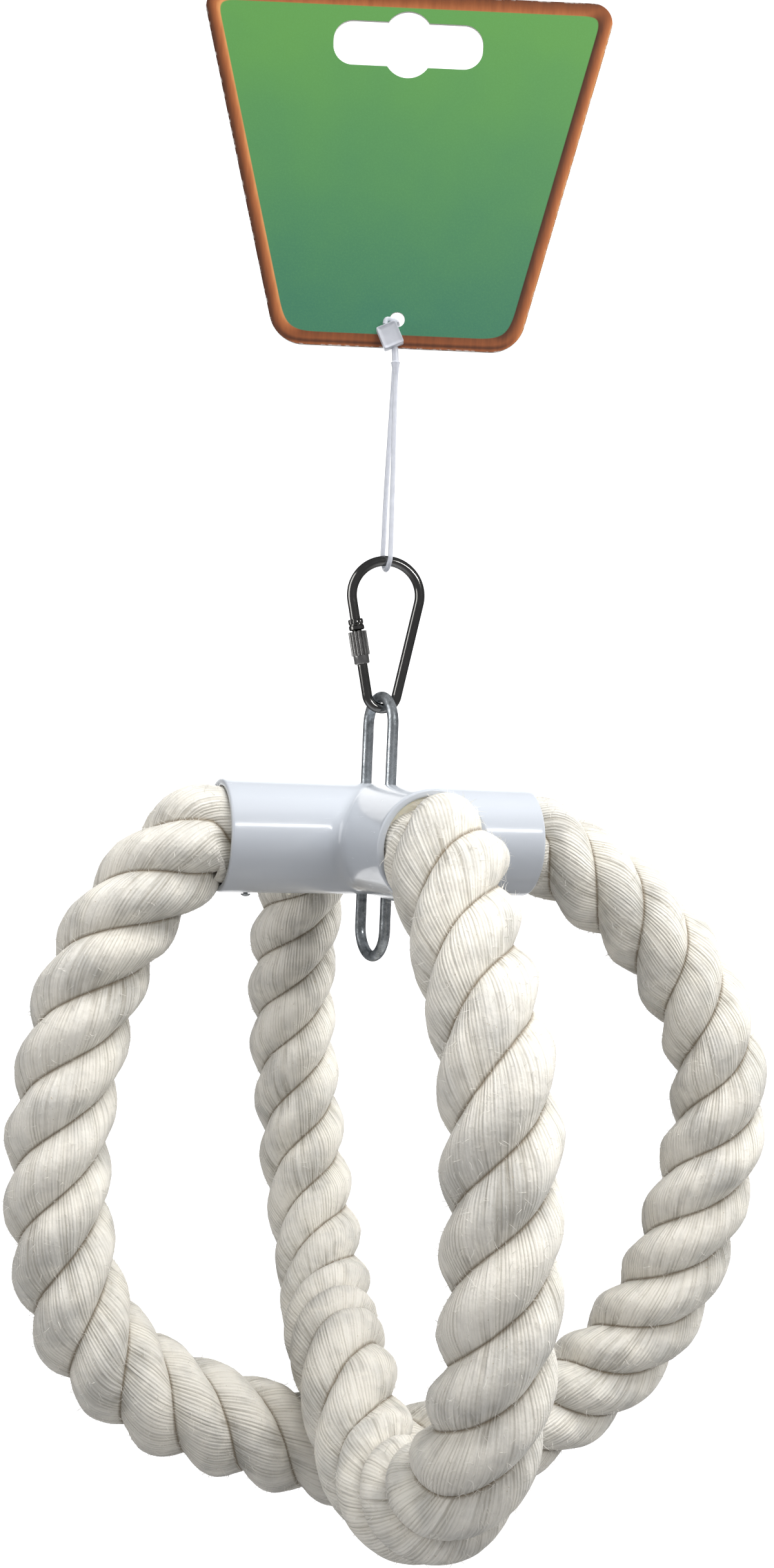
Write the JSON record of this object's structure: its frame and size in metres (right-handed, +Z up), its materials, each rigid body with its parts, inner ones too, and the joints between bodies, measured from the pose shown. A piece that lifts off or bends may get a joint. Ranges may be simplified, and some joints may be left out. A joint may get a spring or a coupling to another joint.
{
  "type": "rope cross ring bird toy",
  "caption": "Hanging bird perch of crossing thick cotton rope rings in a white cross hub, on a wire link, screw-gate pear link and tagged header card.",
  "frame": {"origin": "middle of the card's thickness at the top edge of the slot's round eye, where a display peg bears", "axes": "+Z up, +X along the hub's side sockets to the right seen from the front, -Y towards the viewer along the front socket"},
  "size_m": [0.1742, 0.1683, 0.3469],
  "materials": {
    "card": "printed, satin varnish",
    "nylon": "translucent moulded nylon",
    "nickel": "polished nickel plate",
    "zinc": "galvanised, dull",
    "hub_plastic": "glossy moulded plastic",
    "glue": "hot-melt glue",
    "cotton_rope": "three-strand laid cotton"
  },
  "bodies": {
    "card": {"header_card": "card"},
    "loop": {"tag_loop": "nylon", "tag_loop_lock": "nylon"},
    "carabiner": {"carabiner_body": "nickel"},
    "nut": {"carabiner_nut": "nickel"},
    "toy": {"hanging_link": "zinc", "cross_hub": "hub_plastic", "glue_core": "glue", "side_rope": "cotton_rope", "front_rope": "cotton_rope", "brad_left": "zinc", "brad_right": "zinc", "brad_front": "zinc", "brad_back": "zinc"}
  },
  "joints": [
    {"name": "loop_swing", "type": "hinge", "parent": "card", "child": "loop", "pos_m": [0, 0, -0.07055], "axis": [0.3256, 0.9455, 0], "range_deg": [-45, 45]},
    {"name": "carabiner_swing", "type": "hinge", "parent": "loop", "child": "carabiner", "pos_m": [0, 0, -0.12455], "axis": [0.9848, -0.1736, 0], "range_deg": [-60, 60]},
    {"name": "nut_travel", "type": "slide", "parent": "carabiner", "child": "nut", "axis": [0.1934, -0.0341, -0.9805], "range_m": [0, 0.0052]},
    {"name": "toy_swing", "type": "hinge", "parent": "carabiner", "child": "toy", "pos_m": [0, 0, -0.15825], "axis": [0.9848, -0.1736, 0], "range_deg": [-45, 45]}
  ]
}
